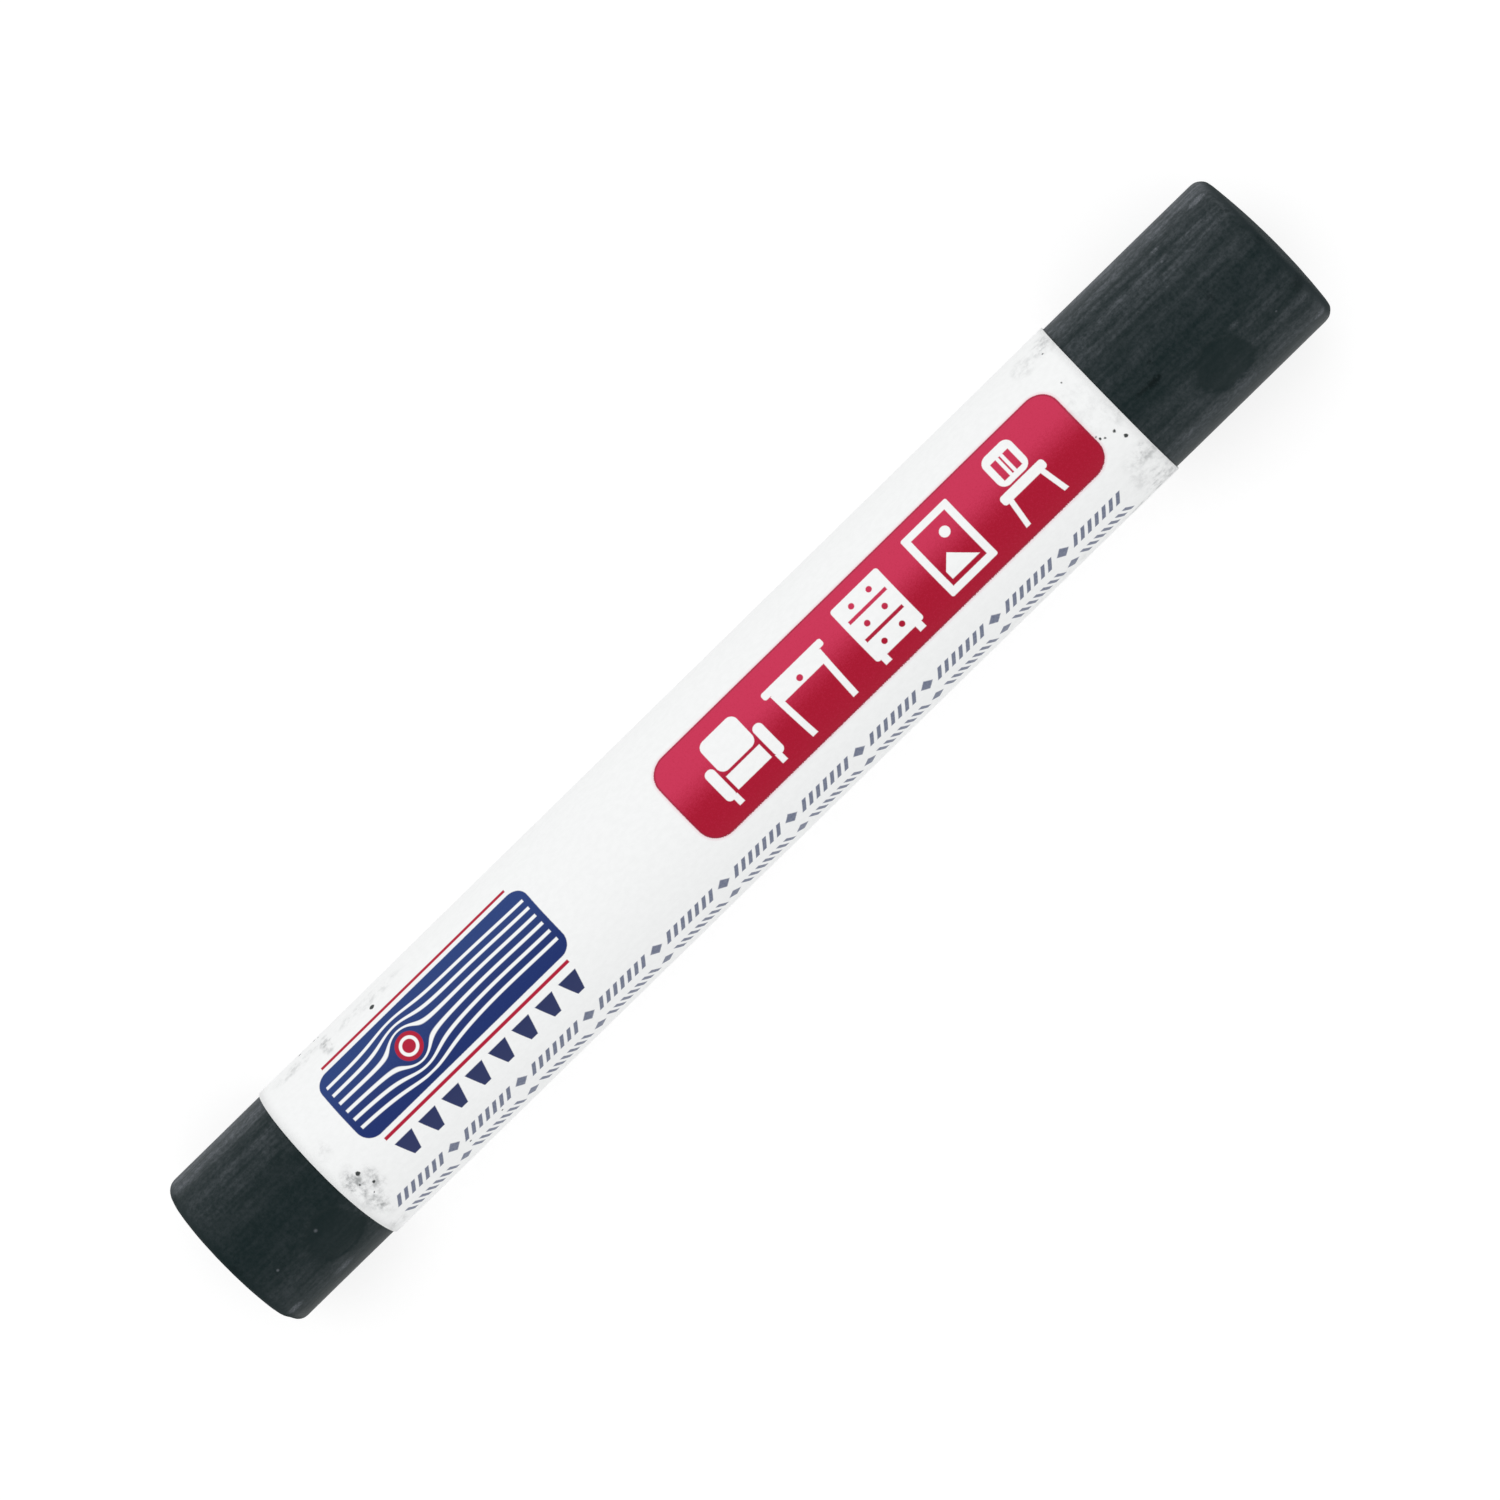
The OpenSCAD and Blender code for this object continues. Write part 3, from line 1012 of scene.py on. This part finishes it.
def paper_material():
    """White coated paper with its print, ink grain and wax smudges."""
    material = new_material("printed_label_paper")
    tree = material.node_tree
    on_label = {"attribute_name": "label_mm"}
    place = add_node(tree, "ShaderNodeAttribute", settings=on_label, output="Vector")
    u, v, inside = parts_of(place)
    outside = 1 - inside
    mottle = noise(place, scale=6.0, detail=3.0, roughness=0.6)
    ink_grain = noise(place, scale=14.0, detail=2.0, roughness=0.7)
    pulp = noise(stretched(place, (0.6, 1, 1)), scale=3.0, detail=4.0, roughness=0.65)
    ragged = (ink_grain - 0.5) * 0.10
    patchy = ink_grain.ramp(0.3, 0.7, -0.16, 0.16) + mottle.ramp(0.3, 0.7, -0.12, 0.12)

    # The red panel has a dark rim, a faint pink edge and a ragged foot
    foot_w, rim_w, rim_blur, halo_w = 0.5, 0.16, 0.10, 0.22
    foot = v.ramp(RED_PANEL.front - foot_w, RED_PANEL.front)
    panel_edge = rounded_area(u, v, RED_PANEL, RED_CORNER) + ragged * (1 + foot * 1.5)
    panel = inked(panel_edge) * outside
    rim = panel_edge.ramp(-rim_w, rim_blur - rim_w) * panel
    halo = panel_edge.ramp(halo_w, 0.0) * outside * (1 - panel)
    signs = inked(panel_signs(u, v) + ragged * 0.5) * panel
    red = panel * (1 - signs)
    # The red ink pales towards the back: partly print, partly a painted highlight
    red_ink = mixed(v.ramp(*RED_FADE) + patchy, INK_RED_TOP_AND_HIGHLIGHT, INK_RED_FOOT)
    red_ink = mixed(rim * 0.6, red_ink, INK_RED_EDGE)
    colour = mixed(pulp.ramp(0.35, 0.65), PAPER_WHITE, PAPER_DULL)
    colour = mixed(halo * 0.4, colour, INK_RED_HALO)
    colour = mixed(red, colour, red_ink)

    # The blue panel, and the thin lines along it
    blue_edge = rounded_area(u, v, BLUE_PANEL, BLUE_CORNER) + ragged * 0.6
    blue = inked(blue_edge) * outside
    grain_lines, knot = wood_knot(u, v)
    blue_ink = mixed(v.ramp(*BLUE_FADE) + patchy, INK_BLUE_TOP, INK_BLUE_FOOT)
    pinstripes = inked(panel_pinstripes(u, v)) * outside
    colour = mixed(blue, colour, blue_ink)
    colour = mixed(blue * knot, colour, INK_RED)
    colour = mixed(blue * grain_lines, colour, PAPER_WHITE)
    colour = mixed(pinstripes, colour, INK_RED)

    # The rows below the panels
    tails = inked(dovetails(u, v, TAILS, TAIL_PITCH, TAIL_SLOPE) + ragged * 0.5) * outside
    colour = mixed(tails, colour, INK_NAVY)
    inks = [red, blue * (1 - grain_lines), tails]
    for band in INLAY_BANDS:
        inlay = inked(inlay_band(u, v, band) + ragged * 0.4) * outside
        colour = mixed(inlay * (0.75 + mottle * 0.3), colour, INK_SLATE)
        inks.append(inlay)
    ink = highest(inks)

    rubbed, specks = soiling(u, v, place)
    colour = mixed(rubbed * outside, colour, WAX_SMEAR)
    colour = mixed(specks * outside, colour, WAX_SPECK)
    roughness = 0.42 - ink * 0.10 + rubbed * 0.25 + mottle * 0.06
    relief = pulp * 0.5 + mottle * 0.3 + ink * 0.25 + specks * 0.8
    fixed = {"Specular IOR Level": 0.15}
    driven = {"Base Color": colour, "Roughness": roughness}
    finish_material(tree, fixed, driven, relief, relief_depth=0.006 * MM)
    return material


GLUE_CLEAR = (0.62, 0.58, 0.44, 1)
GLUE_CLOUDED = (0.74, 0.71, 0.58, 1)


def glue_material():
    """Dried label glue, clear and a little yellow."""
    material = new_material("dried_label_glue")
    tree = material.node_tree
    place = stretched(add_node(tree, "ShaderNodeTexCoord", output="Object"), TO_MM)
    ripple = noise(place, scale=1.8, detail=2.0, roughness=0.5)
    colour = mixed(ripple.ramp(0.3, 0.7), GLUE_CLEAR, GLUE_CLOUDED)
    fixed = {"Specular IOR Level": 0.5}
    driven = {"Base Color": colour, "Roughness": ripple * 0.2 + 0.25}
    finish_material(tree, fixed, driven, ripple, relief_depth=0.01 * MM)
    return material


# Stage

FLOOR_HALF = 1.5
FLOOR_LIT = (0.85, 0.85, 0.85, 1)
# To the camera the floor is duller and glows, which makes it white and its shadows faint
FLOOR_SEEN = (0.36, 0.36, 0.36, 1)
FLOOR_GLOW = 0.72
WHITE = (1, 1, 1, 1)
SURROUND_LIGHT = 0.80

# Soft lamps, with their power in watts
Lamp = namedtuple("Lamp", "name place size power")
LAMPS = [
    Lamp("back_softbox", place=(0.0, 0.62, 0.70), size=(1.5, 1.2), power=3.0),
    Lamp("front_softbox", place=(0.0, -0.80, 0.42), size=(1.3, 0.60), power=1.1),
]

# The camera is high over the long end and looks at the stick's middle, and in the picture the
# stick rises to the right
CAMERA_X, CAMERA_HEIGHT = 40.5 * MM, 580 * MM
AIM_X = 0.13 * MM
STICK_RISE = math.radians(44.35)
LENS_MM, SENSOR_MM = 239.4, 36.0


def looked_at(tree):
    """1 where the camera sees a thing, also in a reflection or through glass, and 0 where the
    thing only sheds light."""
    outputs = add_node(tree, "ShaderNodeLightPath").socket.node.outputs
    rays = ("Is Camera Ray", "Is Glossy Ray", "Is Transmission Ray")
    return highest([Wire(tree, outputs[ray]) for ray in rays])


def build_floor():
    """A plain white floor, on which the stick's shadow stays."""
    half = FLOOR_HALF
    corners = [(-half, -half, 0), (half, -half, 0), (half, half, 0), (-half, half, 0)]
    mesh = bpy.data.meshes.new("studio_floor")
    mesh.from_pydata(corners, [], [(0, 1, 2, 3)])
    floor = bpy.data.objects.new("studio_floor", mesh)
    bpy.context.scene.collection.objects.link(floor)
    material = new_material("floor_white")
    tree = material.node_tree
    seen = looked_at(tree)
    glow_inputs = {"Color": WHITE, "Strength": seen * FLOOR_GLOW}
    glow = add_node(tree, "ShaderNodeEmission", glow_inputs)
    colour = mixed(seen, FLOOR_LIT, FLOOR_SEEN)
    matt = add_node(tree, "ShaderNodeBsdfDiffuse", {"Color": colour})
    both = add_node(tree, "ShaderNodeAddShader", {0: matt, 1: glow})
    add_node(tree, "ShaderNodeOutputMaterial", {"Surface": both})
    mesh.materials.append(material)


def softbox(lamp):
    """A rectangular lamp that points at the middle of the stick and isn't seen itself."""
    light = bpy.data.lights.new(lamp.name, "AREA")
    light.shape = "RECTANGLE"
    light.size, light.size_y = lamp.size
    light.energy = lamp.power
    holder = bpy.data.objects.new(lamp.name, light)
    holder.location = lamp.place
    direction = Vector((0, 0, AXIS_Z)) - holder.location
    holder.rotation_euler = direction.to_track_quat("-Z", "Y").to_euler()
    holder.visible_camera = False
    bpy.context.scene.collection.objects.link(holder)


def build_lights():
    """Soft studio light: an even surround, which is white where it is looked at, a large lamp
    overhead on the back side, and a lower, smaller one in front."""
    world = bpy.data.worlds.new("studio")
    world.use_nodes = True
    tree = world.node_tree
    tree.nodes.clear()
    strength = looked_at(tree) * (1 - SURROUND_LIGHT) + SURROUND_LIGHT
    inputs = {"Color": WHITE, "Strength": strength}
    background = add_node(tree, "ShaderNodeBackground", inputs)
    add_node(tree, "ShaderNodeOutputWorld", {"Surface": background})
    bpy.context.scene.world = world
    for lamp in LAMPS:
        softbox(lamp)


def build_camera():
    """The photograph's view: from above, with the stick rising to the right."""
    data = bpy.data.cameras.new("camera")
    data.sensor_width = SENSOR_MM
    data.lens = LENS_MM
    camera = bpy.data.objects.new("camera", data)
    bpy.context.scene.collection.objects.link(camera)
    bpy.context.scene.camera = camera
    place = Vector((CAMERA_X, 0, AXIS_Z + CAMERA_HEIGHT))
    back = (place - Vector((AIM_X, 0, AXIS_Z))).normalized()
    along = Vector((1, 0, 0))
    along = (along - back * along.dot(back)).normalized()
    across = back.cross(along)
    right = along * math.cos(STICK_RISE) - across * math.sin(STICK_RISE)
    up = along * math.sin(STICK_RISE) + across * math.cos(STICK_RISE)
    turned = Matrix((right, up, back)).transposed().to_4x4()
    camera.matrix_world = Matrix.Translation(place) @ turned


# Pieces

build_camera()
build_lights()
build_floor()

wax_rod = build_wax(wax_material())
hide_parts("wax_stick")
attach(wax_rod, "root")

sheet_tree = rolled_sheet_tree()
paper_wrap = roll_sheet("label_sheet", sheet_tree, rows=86, columns=372, inner_r=GLUE_R,
                        outer_r=PAPER_R, inset=0.0, uneven=0.03 * MM, material=paper_material())
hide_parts("paper_label")
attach(paper_wrap, "root")

glue_wrap = roll_sheet("label_glue", sheet_tree, rows=12, columns=186, inner_r=WAX_R,
                       outer_r=GLUE_R, inset=0.15 * MM, uneven=0.0, material=glue_material())
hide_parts("label_adhesive")
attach(glue_wrap, "root")

bpy.context.scene.view_settings.view_transform = "Standard"
